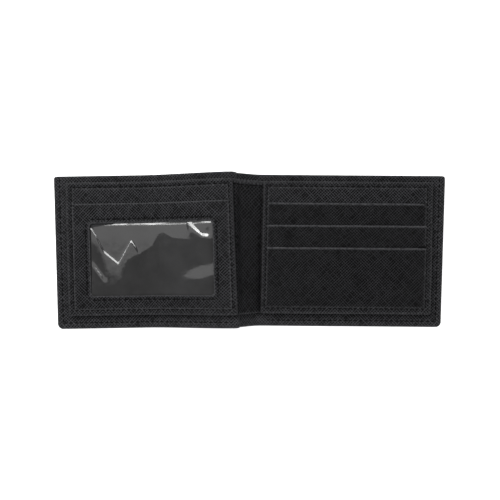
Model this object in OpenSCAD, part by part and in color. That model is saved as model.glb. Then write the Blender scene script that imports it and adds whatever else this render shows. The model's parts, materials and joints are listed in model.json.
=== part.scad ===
// Open bifold wallet: two stiffened leaves joined by a flexible spine strip. The left leaf carries
// a clear identity window, the right leaf three card slots, and one bill compartment runs behind
// both. Layers are flat sheets in their sewn order, and every card or note space is a real gap.

/* [Leaves] */
// Length of each leaf from its crease to its free edge
leaf_len = 109.1; // [95:0.1:125]
// Height of the wallet from the bottom hem to the top fold
leaf_h = 89; // [75:0.5:110]
// Corner radius at the bottom free corners
corner_low_r = 3; // [1:0.5:8]
// Corner radius at the top free corners
corner_high_r = 1.5; // [0.5:0.5:5]

/* [Spine] */
// Width of the spine strip between the two crease lines
spine_w = 15.8; // [14:0.1:22]
// Slope of the spine strip as the wallet lies open
spine_rise = 46; // [20:1:60]
// Half gap between the cover pieces at a crease
crease_gap = 0.35; // [0.3:0.05:0.8]
// Distance of the inner layers of a leaf from its crease line
set_back = 2.6; // [2.2:0.1:5]

/* [Layer thicknesses] */
// Outer cover leather
cover_t = 1.0; // [0.6:0.1:1.6]
// Stiffening board and the turned hems around it
board_t = 0.5; // [0.3:0.1:1]
// Back lining of the bill compartment
lining_t = 0.5; // [0.3:0.1:1]
// Front wall of the bill compartment
divider_t = 0.8; // [0.5:0.1:1.2]
// Textile base of each card panel
base_t = 0.5; // [0.3:0.1:1]
// Leather of one card pocket
pocket_t = 0.6; // [0.4:0.1:1]
// Clear sheet of the identity window
window_t = 0.3; // [0.2:0.1:0.6]

/* [Gaps] */
// Bill compartment when empty
bill_gap = 0.6; // [0.4:0.1:2]
// Slip pocket behind each card panel
slip_gap = 0.4; // [0.3:0.1:1]
// One card slot when empty
card_gap = 0.3; // [0.2:0.1:0.9]

/* [Panels] */
// Margin from the free edge to the panel
panel_side = 7.9; // [5:0.1:14]
// Margin from the bottom edge to the panel
panel_bottom = 7.9; // [5:0.1:14]
// Margin from the top edge to the divider
panel_top = 4.1; // [2:0.1:10]
// Width of the sewn rim at the free side, bottom and top of a panel
rim_w = 4.0; // [3:0.1:6]
// Width of the turned rim beside the spine
rim_spine_w = 3.0; // [2:0.1:5]
// Width of the turned hem around the stiffening board
hem_w = 5.0; // [4:0.5:8]

/* [Card slots] */
// Distance from the top edge to each slot mouth, rear pocket first
slot_depths = [16.6, 29.6, 42.6]; // [10:0.1:60]
// How far the top strip reaches behind the first pocket
strip_tuck = 4; // [2:0.5:10]

/* [Identity window] */
// Window opening along the leaf
window_w = 74; // [60:0.1:85]
// Window opening height
window_h = 42.6; // [35:0.1:55]
// Distance from the free edge to the window opening
window_side = 20.7; // [18:0.1:30]
// Distance from the bottom edge to the window opening
window_bottom = 19.0; // [14:0.1:30]
// Corner radius of the window opening
window_r = 2; // [0.5:0.5:6]
// How far the clear sheet reaches behind its frame
window_tuck = 3; // [2:0.5:6]
// Distance from the top edge to the mouth of the identity slot
id_depth = 16.4; // [12:0.1:20]

/* [Stitching] */
// Stitch spacing
stitch_pitch = 3.0; // [2:0.1:5]
// Visible length of one stitch
stitch_len = 2.2; // [1:0.1:4]
// Thread width
thread_w = 0.5; // [0.3:0.1:1]
// Thread height above the leather
thread_t = 0.2; // [0.1:0.05:0.4]
// Distance of the hem stitching from the outer edges
hem_stitch = 3.5; // [2:0.1:6]
// Distance of the panel stitching from the panel edges
panel_stitch = 3.2; // [1.5:0.1:3.6]
// Distance of the spine-side stitching from the panel edge
spine_stitch = 2.4; // [1:0.1:2.6]
// Distance of the window stitching from the opening
window_stitch = 2.2; // [1.5:0.1:4]

/* [Hidden] */
$fn = 64;

black_leather = [0.075, 0.075, 0.08];
inner_leather = [0.09, 0.09, 0.095];
black_textile = [0.05, 0.05, 0.055];
grey_board = [0.42, 0.40, 0.37];
black_thread = [0.03, 0.03, 0.03];
clear_sheet = [0.75, 0.77, 0.78, 0.45];

// The crease lines run along the middle of the cover.
axis_z = cover_t / 2;
ridge_z = axis_z + spine_w * sin(spine_rise);
// Angle at which the left leaf slopes down until its free edge meets the ground.
droop = asin(ridge_z / sqrt(leaf_len * leaf_len + axis_z * axis_z)) - atan(axis_z / leaf_len);
reach_left = spine_w * cos(spine_rise) + leaf_len * cos(droop) + axis_z * sin(droop);
axis_x = (reach_left - leaf_len) / 2;

// Heights of the layers above the outer surface of the cover.
hem_z = cover_t;
lining_z = hem_z + board_t;
bill_z = lining_z + lining_t;
divider_z = bill_z + bill_gap;
slip_z = divider_z + divider_t;
base_z = slip_z + slip_gap;
strip_z = base_z + base_t;
strip_top_z = strip_z + pocket_t;
back_z = strip_z + card_gap;
middle_z = back_z + pocket_t + card_gap;
front_z = middle_z + pocket_t + card_gap;
panel_z = front_z + pocket_t;
window_z = strip_z + card_gap;
frame_z = window_z + window_t;
frame_top_z = frame_z + pocket_t;

// Upper end and top height of each terrace of the sewn edges.
card_levels = [
    for (i = [0 : 2]) [leaf_h - slot_depths[i], back_z + pocket_t + i * (pocket_t + card_gap)]
];
id_levels = [[leaf_h - id_depth, frame_top_z]];

// Edges of the panels, measured from the crease line and from the bottom edge.
panel_out = leaf_len - panel_side;
panel_hi = leaf_h - panel_top;
clear_x = set_back + rim_spine_w;
clear_out = panel_out - rim_w;
clear_y = panel_bottom + rim_w;
cover_x = axis_z + crease_gap;
spine_clear = axis_z + crease_gap + 0.1;

// ---- placing the three bodies ----

// Leaf pieces are drawn with the crease at x = 0, the free edge at +x and the bottom edge at y = 0.
module on_right() translate([axis_x, -leaf_h / 2, 0]) children();

module on_spine()
    translate([axis_x, 0, axis_z]) rotate([0, spine_rise, 0]) mirror([1, 0, 0])
        translate([0, -leaf_h / 2, -axis_z]) children();

module on_left()
    translate([axis_x - spine_w * cos(spine_rise), 0, ridge_z]) rotate([0, -droop, 0])
        mirror([1, 0, 0]) translate([0, -leaf_h / 2, -axis_z]) children();

// ---- shared shapes ----

module sheet(x0, x1, y0, y1, z, t) translate([x0, y0, z]) cube([x1 - x0, y1 - y0, t]);

// A sheet whose two free corners are rounded.
module leaf_sheet(x0, x1, y0, y1, z, t, r_low, r_high)
    translate([x0, y0, z]) linear_extrude(t) {
        w = x1 - x0;
        h = y1 - y0;
        translate([0, r_low]) square([w, h - r_low - r_high]);
        square([w - r_low, r_low]);
        translate([w - r_low, r_low]) circle(r_low);
        translate([0, h - r_high]) square([w - r_high, r_high]);
        translate([w - r_high, h - r_high]) circle(r_high);
    }

module round_rect(w, h, r) {
    translate([r, 0]) square([w - 2 * r, h]);
    translate([0, r]) square([w, h - 2 * r]);
    for (x = [r, w - r], y = [r, h - r]) translate([x, y]) circle(r);
}

// One row of stitches from a to b, lying on a surface at height z.
module stitch_row(a, b, z) {
    run = b - a;
    len = norm(run);
    count = floor(len / stitch_pitch);
    pitch = len / count;
    angle = atan2(run[1], run[0]);
    translate([a[0], a[1], z]) rotate([0, 0, angle])
        for (i = [0 : count - 1])
            translate([(i + 0.5) * pitch - stitch_len / 2, -thread_w / 2, 0])
                cube([stitch_len, thread_w, thread_t]);
}

// ---- layers of one leaf ----

module leaf_cover()
    color(black_leather)
        leaf_sheet(cover_x, leaf_len, 0, leaf_h, 0, cover_t, corner_low_r, corner_high_r);

module leaf_top_fold()
    color(black_leather) sheet(set_back, leaf_len - hem_w, leaf_h - 1, leaf_h, hem_z, board_t);

module leaf_hem_side()
    color(black_leather)
        translate([0, 0, hem_z]) linear_extrude(board_t) intersection() {
            translate([leaf_len - hem_w, 0]) square([hem_w, leaf_h]);
            translate([set_back, 0])
                round_rect(leaf_len - set_back, leaf_h, corner_high_r);
            translate([-corner_low_r, 0])
                round_rect(leaf_len + corner_low_r, leaf_h + 2 * corner_low_r, corner_low_r);
        }

module leaf_hem_bottom()
    color(black_leather) sheet(set_back, leaf_len - hem_w, 0, hem_w, hem_z, board_t);

module leaf_board()
    color(grey_board) sheet(set_back, leaf_len - hem_w, hem_w, leaf_h - 1, hem_z, board_t);

module leaf_lining()
    color(inner_leather)
        leaf_sheet(set_back, leaf_len, 0, leaf_h, lining_z, lining_t, corner_low_r, corner_high_r);

module bill_seam_side()
    color(black_textile)
        sheet(panel_out - rim_w, panel_out, panel_bottom, panel_hi, bill_z, bill_gap);

module bill_seam_bottom()
    color(black_textile)
        sheet(set_back, panel_out - rim_w, panel_bottom, clear_y, bill_z, bill_gap);

module leaf_divider()
    color(inner_leather)
        sheet(set_back, panel_out, panel_bottom, panel_hi, divider_z, divider_t);

module panel_base()
    color(black_textile) sheet(set_back, clear_out, clear_y, panel_hi - rim_w, base_z, base_t);

module rim_top()
    color(inner_leather)
        sheet(set_back, clear_out, panel_hi - rim_w, panel_hi, slip_z, strip_top_z - slip_z);

// The sewn edge beside the pockets. It thickens by one terrace at each slot mouth.
module rim_terraces(x0, x1, y0, low_z, levels)
    color(inner_leather)
        for (i = [0 : len(levels) - 1])
            sheet(x0, x1, y0, levels[i][0], i == 0 ? low_z : levels[i - 1][1],
                levels[i][1] - (i == 0 ? low_z : levels[i - 1][1]));

module rim_side(levels)
    rim_terraces(clear_out, panel_out, panel_bottom, slip_z,
        concat([[panel_hi, strip_top_z]], levels));

module rim_spine(levels)
    rim_terraces(set_back, clear_x, clear_y, strip_z,
        concat([[panel_hi - rim_w, strip_top_z]], levels));

module rim_bottom(top_z)
    color(inner_leather)
        sheet(set_back, clear_out, panel_bottom, clear_y, slip_z, top_z - slip_z);

// The strip above the first slot mouth, thinner where it is tucked behind the pocket.
module top_strip(mouth) {
    low_y = leaf_h - mouth - strip_tuck;
    color(inner_leather) {
        sheet(clear_x, clear_out, leaf_h - mouth, panel_hi - rim_w, strip_z, pocket_t);
        sheet(clear_x, clear_out, low_y, leaf_h - mouth, strip_z, card_gap / 2);
    }
}

module card_pocket(mouth, z)
    color(inner_leather) sheet(clear_x, clear_out, clear_y, leaf_h - mouth, z, pocket_t);

module hem_stitching() {
    out = leaf_len - hem_stitch;
    z = bill_z;
    color(black_thread) {
        stitch_row([out, hem_stitch], [out, leaf_h - 1.2], z);
        stitch_row([set_back + 3, hem_stitch], [out, hem_stitch], z);
    }
}

// One upright row of stitches that climbs the terraces of a sewn edge.
module terrace_row(x, y0, y1, levels) {
    tops = concat([[y1, strip_top_z]], levels);
    for (i = [0 : len(tops) - 1])
        stitch_row([x, i == len(tops) - 1 ? y0 : tops[i + 1][0]], [x, tops[i][0]], tops[i][1]);
}

module panel_stitching(levels) {
    out = panel_out - panel_stitch;
    low = panel_bottom + panel_stitch;
    high = panel_hi - panel_stitch;
    near = set_back + spine_stitch;
    front = levels[len(levels) - 1][1];
    color(black_thread) {
        terrace_row(out, low, high, levels);
        terrace_row(near, clear_y, panel_hi - rim_w, levels);
        stitch_row([near, low], [clear_out, low], front);
        stitch_row([near, high], [clear_out, high], strip_top_z);
    }
}

// ---- right leaf ----

module cover_right() on_right() leaf_cover();
module top_fold_right() on_right() leaf_top_fold();
module hem_side_right() on_right() leaf_hem_side();
module hem_bottom_right() on_right() leaf_hem_bottom();
module board_right() on_right() leaf_board();
module lining_right() on_right() leaf_lining();
module bill_seam_side_right() on_right() bill_seam_side();
module bill_seam_bottom_right() on_right() bill_seam_bottom();
module divider_right() on_right() leaf_divider();
module panel_base_right() on_right() panel_base();
module rim_top_right() on_right() rim_top();
module rim_side_right() on_right() rim_side(card_levels);
module rim_bottom_right() on_right() rim_bottom(panel_z);
module rim_spine_right() on_right() rim_spine(card_levels);
module top_strip_right() on_right() top_strip(slot_depths[0]);
module pocket_back() on_right() card_pocket(slot_depths[0], back_z);
module pocket_middle() on_right() card_pocket(slot_depths[1], middle_z);
module pocket_front() on_right() card_pocket(slot_depths[2], front_z);
module hem_stitches_right() on_right() hem_stitching();
module panel_stitches_right() on_right() panel_stitching(card_levels);

// ---- spine ----

// The strip of cover between the creases, with a round edge centred on each crease line.
module cover_spine()
    on_spine() color(black_leather) {
        sheet(0, spine_w, 0, leaf_h, 0, cover_t);
        for (x = [0, spine_w])
            translate([x, leaf_h, axis_z]) rotate([90, 0, 0]) cylinder(h = leaf_h, r = axis_z);
    }

module lining_spine()
    on_spine() color(inner_leather)
        sheet(spine_clear, spine_w - spine_clear, 0, leaf_h, cover_t, lining_t);

module divider_spine()
    on_spine() color(inner_leather)
        sheet(spine_clear, spine_w - spine_clear, panel_bottom, panel_hi,
            cover_t + lining_t, divider_t);

module divider_stitches_spine()
    on_spine() color(black_thread)
        stitch_row([spine_clear, panel_hi - panel_stitch], [spine_w - spine_clear,
            panel_hi - panel_stitch], cover_t + lining_t + divider_t);

// ---- left leaf ----

module cover_left() on_left() leaf_cover();
module top_fold_left() on_left() leaf_top_fold();
module hem_side_left() on_left() leaf_hem_side();
module hem_bottom_left() on_left() leaf_hem_bottom();
module board_left() on_left() leaf_board();
module lining_left() on_left() leaf_lining();
module bill_seam_side_left() on_left() bill_seam_side();
module bill_seam_bottom_left() on_left() bill_seam_bottom();
module divider_left() on_left() leaf_divider();
module panel_base_left() on_left() panel_base();
module rim_top_left() on_left() rim_top();
module rim_side_left() on_left() rim_side(id_levels);
module rim_bottom_left() on_left() rim_bottom(frame_top_z);
module rim_spine_left() on_left() rim_spine(id_levels);
module top_strip_left() on_left() top_strip(id_depth);

module window_place(grow, z)
    translate([leaf_len - window_side - window_w - grow, window_bottom - grow, z]) children();

module id_window()
    on_left() color(clear_sheet)
        window_place(window_tuck, window_z)
            linear_extrude(window_t)
                round_rect(window_w + 2 * window_tuck, window_h + 2 * window_tuck, window_r);

// The leather frame around the window, whose upper edge is the mouth of the identity slot.
module window_frame()
    on_left() color(inner_leather)
        difference() {
            sheet(clear_x, clear_out, clear_y, leaf_h - id_depth, frame_z, pocket_t);
            window_place(0, frame_z - 1)
                linear_extrude(pocket_t + 2) round_rect(window_w, window_h, window_r);
        }

module hem_stitches_left() on_left() hem_stitching();
module panel_stitches_left() on_left() panel_stitching(id_levels);

module window_stitches() {
    x0 = leaf_len - window_side - window_w - window_stitch;
    x1 = leaf_len - window_side + window_stitch;
    y0 = window_bottom - window_stitch;
    y1 = window_bottom + window_h + window_stitch;
    k = window_r + window_stitch / 2;
    on_left() color(black_thread) {
        for (y = [y0, y1]) stitch_row([x0 + k, y], [x1 - k, y], frame_top_z);
        for (x = [x0, x1]) stitch_row([x, y0 + k], [x, y1 - k], frame_top_z);
    }
}

cover_right();
top_fold_right();
hem_side_right();
hem_bottom_right();
board_right();
lining_right();
bill_seam_side_right();
bill_seam_bottom_right();
divider_right();
panel_base_right();
rim_top_right();
rim_side_right();
rim_bottom_right();
rim_spine_right();
top_strip_right();
pocket_back();
pocket_middle();
pocket_front();
hem_stitches_right();
panel_stitches_right();
cover_spine();
lining_spine();
divider_spine();
divider_stitches_spine();
cover_left();
top_fold_left();
hem_side_left();
hem_bottom_left();
board_left();
lining_left();
bill_seam_side_left();
bill_seam_bottom_left();
divider_left();
panel_base_left();
rim_top_left();
rim_side_left();
rim_bottom_left();
rim_spine_left();
top_strip_left();
id_window();
window_frame();
hem_stitches_left();
panel_stitches_left();
window_stitches();
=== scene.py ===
"""Visual model of an opened black leather wallet: two leaves, a spine strip and their stitching.

Lengths are in millimetres while a piece is drafted and in metres once it is a mesh. A point of a
leaf is written (u, v, h): u runs from the crease to the free edge, v from the middle of the leaf
towards the open top of the bill compartment, and h out of the cover towards the inside.
"""

import json
import logging
import math
from dataclasses import dataclass
from enum import Enum
from typing import Callable, Iterable, Sequence

import bmesh
import bpy
import numpy as np
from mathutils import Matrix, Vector


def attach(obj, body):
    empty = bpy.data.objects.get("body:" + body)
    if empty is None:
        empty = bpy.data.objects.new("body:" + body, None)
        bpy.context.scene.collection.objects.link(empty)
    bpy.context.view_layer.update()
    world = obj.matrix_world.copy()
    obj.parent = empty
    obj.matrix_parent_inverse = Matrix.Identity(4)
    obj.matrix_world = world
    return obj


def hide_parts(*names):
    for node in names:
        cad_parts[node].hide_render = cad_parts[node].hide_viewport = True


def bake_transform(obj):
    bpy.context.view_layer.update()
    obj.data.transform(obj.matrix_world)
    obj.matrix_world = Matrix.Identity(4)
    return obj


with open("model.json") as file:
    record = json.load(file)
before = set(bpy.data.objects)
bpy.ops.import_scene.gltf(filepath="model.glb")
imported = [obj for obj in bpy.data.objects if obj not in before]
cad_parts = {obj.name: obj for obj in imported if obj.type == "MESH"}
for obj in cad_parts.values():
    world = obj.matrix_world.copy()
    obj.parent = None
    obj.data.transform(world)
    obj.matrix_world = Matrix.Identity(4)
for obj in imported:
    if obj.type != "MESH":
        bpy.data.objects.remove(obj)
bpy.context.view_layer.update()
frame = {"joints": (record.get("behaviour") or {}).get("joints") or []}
LOG = logging.getLogger("wallet")
MM = 0.001
ONE_WAVE = 0.3142  # scale at which a wave texture has one band in each unit

Array = np.ndarray
Field = Callable[[Array, Array], Array]


class Side(Enum):
    """One of the two leaves, by the CAD body that carries it."""

    RIGHT = "right_leaf"
    LEFT = "left_leaf"

    @property
    def word(self) -> str:
        """The short name used in piece and node names."""
        return "right" if self is Side.RIGHT else "left"


# ---------------------------------------------------------------- finishes


class NodeBench:
    """Lays out one procedural material node by node."""

    def __init__(self, name: str) -> None:
        """Starts an empty material.

        Args:
            name: Name of the new material.
        """
        self.material = bpy.data.materials.new(name)
        self.material.use_nodes = True
        self.tree = self.material.node_tree
        self.tree.nodes.clear()
        self.output = self.add("ShaderNodeOutputMaterial")
        self.shader = self.add("ShaderNodeBsdfPrincipled")
        self.link(self.shader.outputs[0], self.output.inputs["Surface"])

    def add(self, kind: str, **values: object) -> bpy.types.Node:
        """Adds a node and sets its properties.

        Args:
            kind: Blender's name for the node type.
            **values: Node properties to set.

        Returns:
            The new node.
        """
        node = self.tree.nodes.new(kind)
        for key, value in values.items():
            setattr(node, key, value)
        return node

    def link(self, out: bpy.types.NodeSocket, into: bpy.types.NodeSocket) -> None:
        """Joins two sockets."""
        self.tree.links.new(out, into)

    def surface(self, **values: object) -> None:
        """Sets constant numbers and colours on the shader's own sockets."""
        for key, value in values.items():
            self.shader.inputs[key.replace("_", " ")].default_value = value

    def coordinates(self) -> bpy.types.NodeSocket:
        """The leather's own flat coordinates, in centimetres."""
        return self.add("ShaderNodeTexCoord").outputs["UV"]

    def mapped(self, source: bpy.types.NodeSocket, scale: Sequence[float], turn: float = 0.0,
               shift: Sequence[float] = (0, 0, 0)) -> bpy.types.NodeSocket:
        """Scales and turns coordinates in their plane.

        Args:
            source: Coordinates to change.
            scale: Scale along the turned axes.
            turn: Angle in degrees by which the pattern is turned.
            shift: Offset added last.

        Returns:
            The changed coordinates.
        """
        spin = self.add("ShaderNodeMapping")
        spin.inputs["Rotation"].default_value = (0, 0, math.radians(turn))
        self.link(source, spin.inputs["Vector"])
        stretch = self.add("ShaderNodeMapping")
        stretch.inputs["Scale"].default_value = tuple(scale)
        stretch.inputs["Location"].default_value = tuple(shift)
        self.link(spin.outputs[0], stretch.inputs["Vector"])
        return stretch.outputs[0]

    def noise(self, source: bpy.types.NodeSocket, scale: float, detail: float = 2.0,
              rough: float = 0.5) -> bpy.types.NodeSocket:
        """Adds a noise pattern.

        Args:
            source: Coordinates that it reads.
            scale: Number of blotches in a unit of the coordinates.
            detail: Octaves.
            rough: Strength of the fine octaves.

        Returns:
            The pattern's factor, around 0.5.
        """
        node = self.add("ShaderNodeTexNoise", noise_dimensions="3D")
        node.inputs["Scale"].default_value = scale
        node.inputs["Detail"].default_value = detail
        node.inputs["Roughness"].default_value = rough
        self.link(source, node.inputs["Vector"])
        return node.outputs["Fac"]

    def math(self, operation: str, a: bpy.types.NodeSocket | float,
             b: bpy.types.NodeSocket | float = 0.0) -> bpy.types.NodeSocket:
        """Combines two values.

        Args:
            operation: Blender's name for the operation.
            a: First socket or number.
            b: Second socket or number.

        Returns:
            The result.
        """
        node = self.add("ShaderNodeMath", operation=operation)
        for socket, value in zip(node.inputs, (a, b)):
            if isinstance(value, (int, float)):
                socket.default_value = value
            else:
                self.link(value, socket)
        return node.outputs[0]

    def times(self, a: bpy.types.NodeSocket,
              b: bpy.types.NodeSocket | float) -> bpy.types.NodeSocket:
        """Multiplies two values."""
        return self.math("MULTIPLY", a, b)

    def spread(self, value: bpy.types.NodeSocket, lo: float, hi: float, out_lo: float = 0.0,
               out_hi: float = 1.0) -> bpy.types.NodeSocket:
        """Stretches a value from one range to another, with smooth ends.

        Args:
            value: The value to change.
            lo: Input that gives out_lo.
            hi: Input that gives out_hi.
            out_lo: Lowest result.
            out_hi: Highest result.

        Returns:
            The stretched value.
        """
        node = self.add("ShaderNodeMapRange", interpolation_type="SMOOTHSTEP")
        self.link(value, node.inputs["Value"])
        for key, number in (("From Min", lo), ("From Max", hi), ("To Min", out_lo),
                            ("To Max", out_hi)):
            node.inputs[key].default_value = number
        return node.outputs[0]

    def blend(self, factor: bpy.types.NodeSocket, dark: Sequence[float],
              light: Sequence[float]) -> bpy.types.NodeSocket:
        """Mixes two colours.

        Args:
            factor: 0 gives the first colour and 1 the second.
            dark: First colour.
            light: Second colour.

        Returns:
            The mixed colour.
        """
        node = self.add("ShaderNodeMix", data_type="RGBA")
        self.link(factor, node.inputs["Factor"])
        node.inputs[6].default_value = (*dark, 1)
        node.inputs[7].default_value = (*light, 1)
        return node.outputs[2]

    def bump(self, height: bpy.types.NodeSocket, distance: float, strength: float = 1.0) -> None:
        """Raises the surface by a height pattern.

        Args:
            height: Pattern of 0 to 1.
            distance: Height in metres that 1 stands for.
            strength: Share of the effect.
        """
        node = self.add("ShaderNodeBump")
        node.inputs["Distance"].default_value = distance
        node.inputs["Strength"].default_value = strength
        self.link(height, node.inputs["Height"])
        self.link(node.outputs[0], self.shader.inputs["Normal"])


@dataclass(frozen=True)
class SaffianoLeather:
    """Pressed cross-hatched leather with a thin wax finish and a painted highlight along its turned
    edges.
    """

    name: str
    light: tuple[float, float, float]
    dark: tuple[float, float, float] = (0.0003, 0.0003, 0.00033)
    # Colour of the painted highlight along turned edges, rims and slot mouths.
    painted_highlight_colour: tuple[float, float, float] = (0.095, 0.095, 0.10)
    roughness: float = 0.42
    specular: float = 0.08
    lines_per_cm: float = 7.9
    depth_mm: float = 0.22

    def hatch(self, bench: NodeBench, flat: bpy.types.NodeSocket, turn: float,
              shift: float) -> bpy.types.NodeSocket:
        """One direction of the pressed lines, with stronger and weaker strokes.

        Args:
            bench: The material's bench.
            flat: The leather's flat coordinates.
            turn: Direction of the lines in degrees.
            shift: Offset that tells the two directions apart.

        Returns:
            The lines' height, 0 to about 1.
        """
        rows = bench.mapped(flat, (self.lines_per_cm, 1.0, 1.0), turn, (0, shift, 0))
        wave = bench.add("ShaderNodeTexWave", wave_type="BANDS", bands_direction="X",
                         wave_profile="SIN")
        wave.inputs["Scale"].default_value = ONE_WAVE
        wave.inputs["Distortion"].default_value = 0.35
        wave.inputs["Detail"].default_value = 1.0
        wave.inputs["Detail Scale"].default_value = 1.2
        bench.link(rows, wave.inputs["Vector"])
        stroke = bench.noise(bench.mapped(flat, (11.0, 1.3, 1.0), turn, (shift, 0, 0)), 1.0,
                             2.0, 0.55)
        area = bench.noise(bench.mapped(flat, (1.2, 0.9, 1.0), turn, (0, 0, shift)), 1.0, 2.0)
        force = bench.times(bench.spread(stroke, 0.34, 0.64, 0.55, 1.3),
                            bench.spread(area, 0.34, 0.64, 0.8, 1.06))
        return bench.times(bench.spread(wave.outputs["Fac"], 0.40, 0.88), force)

    def make(self) -> bpy.types.Material:
        """Builds the material.

        Returns:
            The leather.
        """
        bench = NodeBench(self.name)
        flat = bench.coordinates()
        rising = self.hatch(bench, flat, 45.0, 3.1)
        falling = self.hatch(bench, flat, -45.0, 7.7)
        crossed = bench.times(bench.math("ADD", rising, falling), 0.45)
        single = bench.times(bench.math("MAXIMUM", rising, falling), 0.4)
        pebble = bench.noise(flat, 42.0, 2.0, 0.6)
        # This mesh attribute flattens the pressed lines on smooth turned edges and also sets where
        # the painted highlight goes.
        highlight_and_smoothing_amount = bench.add("ShaderNodeAttribute", attribute_name="highlight_and_smoothing").outputs["Fac"]
        pressed = bench.times(bench.math("ADD", crossed, single),
                              bench.spread(highlight_and_smoothing_amount, 0.05, 0.7, 1.0, 0.2))
        height = bench.math("ADD", pressed, bench.times(pebble, 0.2))
        tone = bench.spread(height, 0.42, 1.1)
        ground = bench.blend(tone, self.dark, self.light)
        # Painted highlight: a light colour added on turned edges, rims and slot mouths, patchy and
        # strongest on the raised lines.
        patchy = bench.spread(bench.noise(flat, 9.0, 3.0), 0.3, 0.62, 0.35, 1.0)
        share = bench.times(bench.times(highlight_and_smoothing_amount, patchy), bench.spread(height, 0.0, 0.8, 0.6, 1.0))
        painted_highlight_colour = bench.blend(share, (0, 0, 0), self.painted_highlight_colour)
        colour = bench.add("ShaderNodeMix", data_type="RGBA", blend_type="ADD")
        colour.inputs["Factor"].default_value = 1.0
        bench.link(ground, colour.inputs[6])
        bench.link(painted_highlight_colour, colour.inputs[7])
        bench.link(colour.outputs[2], bench.shader.inputs["Base Color"])
        bench.link(bench.spread(height, 0.1, 1.1, self.roughness + 0.12, self.roughness - 0.06),
                   bench.shader.inputs["Roughness"])
        bench.surface(Specular_IOR_Level=self.specular)
        bench.bump(height, self.depth_mm * MM, 1.0)
        return bench.material


@dataclass(frozen=True)
class ClearSheet:
    """Clear flexible sheet over the dark pocket behind it."""

    name: str = "clear_sheet"
    tint: tuple[float, float, float] = (0.026, 0.0255, 0.0255)
    roughness: float = 0.06

    def make(self) -> bpy.types.Material:
        """Builds the material.

        Returns:
            The clear sheet.
        """
        bench = NodeBench(self.name)
        flat = bench.coordinates()
        cloud = bench.noise(flat, 0.8, 3.0)
        shade = tuple(c * 1.25 for c in self.tint)
        bench.link(bench.blend(bench.spread(cloud, 0.3, 0.7), self.tint, shade),
                   bench.shader.inputs["Base Color"])
        bench.link(bench.spread(bench.noise(flat, 3.0, 2.0), 0.3, 0.7, self.roughness - 0.02,
                                self.roughness + 0.05), bench.shader.inputs["Roughness"])
        bench.surface(IOR=1.52, Specular_IOR_Level=0.6, Coat_Weight=0.4, Coat_Roughness=0.03)
        bench.bump(bench.noise(flat, 1.4, 2.0), 0.1 * MM, 0.4)
        return bench.material


@dataclass(frozen=True)
class WovenCloth:
    """Plain woven textile used for seams, bases and thread."""

    name: str
    dark: tuple[float, float, float]
    light: tuple[float, float, float]
    threads_per_cm: float = 28.0
    roughness: float = 0.8
    sheen: float = 0.15
    specular: float = 0.4

    def make(self) -> bpy.types.Material:
        """Builds the material.

        Returns:
            The cloth.
        """
        bench = NodeBench(self.name)
        flat = bench.coordinates()
        waves = []
        for direction in ("X", "Y"):
            wave = bench.add("ShaderNodeTexWave", wave_type="BANDS", bands_direction=direction)
            wave.inputs["Scale"].default_value = self.threads_per_cm * 0.3125
            wave.inputs["Distortion"].default_value = 0.4
            bench.link(flat, wave.inputs["Vector"])
            waves.append(wave.outputs["Fac"])
        weave = bench.times(waves[0], waves[1])
        fuzz = bench.noise(flat, 60.0, 2.0)
        height = bench.math("ADD", weave, bench.times(fuzz, 0.4))
        bench.link(bench.blend(bench.spread(height, 0.1, 1.1), self.dark, self.light),
                   bench.shader.inputs["Base Color"])
        bench.surface(Roughness=self.roughness, Sheen_Weight=self.sheen,
                      Specular_IOR_Level=self.specular)
        bench.bump(height, 0.05 * MM, 0.7)
        return bench.material


@dataclass(frozen=True)
class PaleFloor:
    """Plain pale table top."""

    name: str = "pale_floor"
    tone: float = 0.86
    glow: float = 0.72

    def make(self) -> bpy.types.Material:
        """Builds the material.

        Returns:
            The floor finish.
        """
        bench = NodeBench(self.name)
        mottle = bench.noise(bench.add("ShaderNodeTexCoord").outputs["Object"], 40.0, 2.0)
        low = (self.tone - 0.01,) * 3
        high = (self.tone + 0.01,) * 3
        bench.link(bench.blend(bench.spread(mottle, 0.3, 0.7), low, high),
                   bench.shader.inputs["Base Color"])
        bench.surface(Roughness=0.9, Specular_IOR_Level=0.1, Emission_Color=(1, 1, 1, 1),
                      Emission_Strength=self.glow)
        return bench.material


class Finishes:
    """Every finish of the wallet, made once."""

    def __init__(self) -> None:
        """Makes the materials."""
        # Lit and shaded copies of one black leather: the lining is painted lighter against the
        # shade on its margins, and the divider across the spine and the card pocket faces are
        # painted darker, as painted shade.
        self.cover = SaffianoLeather("cover_leather", (0.040, 0.040, 0.043)).make()
        self.inner = SaffianoLeather("inner_leather", (0.036, 0.036, 0.0388)).make()
        self.lining = SaffianoLeather("lining_leather_painted_light", (0.043, 0.043, 0.0463)).make()
        self.divider = SaffianoLeather("divider_leather_painted_shade", (0.023, 0.023, 0.0248),
                                       lines_per_cm=6.6).make()
        self.pocket = SaffianoLeather("pocket_leather_painted_shade", (0.0215, 0.0215, 0.0231)).make()
        self.window = ClearSheet().make()
        self.textile = WovenCloth("black_textile", (0.008, 0.008, 0.009),
                                  (0.022, 0.022, 0.024)).make()
        self.board = WovenCloth("stiff_board", (0.10, 0.094, 0.08), (0.17, 0.16, 0.14),
                                threads_per_cm=9.0, sheen=0.0).make()
        self.thread = WovenCloth("black_thread", (0.0005, 0.0005, 0.0006),
                                 (0.003, 0.003, 0.0033), threads_per_cm=45.0,
                                 roughness=0.7, sheen=0.0, specular=0.12).make()
        self.floor = PaleFloor().make()


# ---------------------------------------------------------------- sizes and placing


@dataclass(frozen=True)
class Layers:
    """Heights of the layers above the outer surface, in millimetres."""

    cover: float = 1.0
    board: float = 1.5
    lining: float = 2.0
    seam: float = 2.6
    divider: float = 3.4
    slip: float = 3.8
    base: float = 4.3
    strip: float = 4.9
    back: tuple[float, float] = (4.6, 5.2)
    middle: tuple[float, float] = (5.5, 6.1)
    front: tuple[float, float] = (6.4, 7.0)
    window: tuple[float, float] = (4.6, 4.9)
    frame: tuple[float, float] = (4.9, 5.5)


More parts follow.
